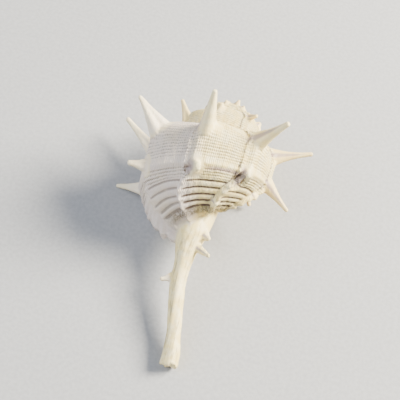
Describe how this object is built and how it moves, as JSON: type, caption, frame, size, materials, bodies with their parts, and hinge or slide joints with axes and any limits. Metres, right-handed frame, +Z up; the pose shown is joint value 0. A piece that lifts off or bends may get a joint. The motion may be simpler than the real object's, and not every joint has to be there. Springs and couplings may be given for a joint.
{
  "type": "murex shell",
  "caption": "Spiny murex sea shell: swollen whorls with rows of long open spines, a low spire, an oval mouth and a long, straight siphonal canal.",
  "frame": {"origin": "centre of the shell's footprint box, on the surface it lies on", "axes": "+Y along the coiling axis from the canal's tip to the spire, +Z up, away from the mouth side it lies on, +X to the shell's right seen from the back with the spire away"},
  "size_m": [0.0576, 0.0814, 0.0456],
  "materials": {
    "shell": "matt cream shell with ochre grooves and a lavender tint"
  },
  "bodies": {
    "root": {"shell": "shell"}
  },
  "joints": []
}
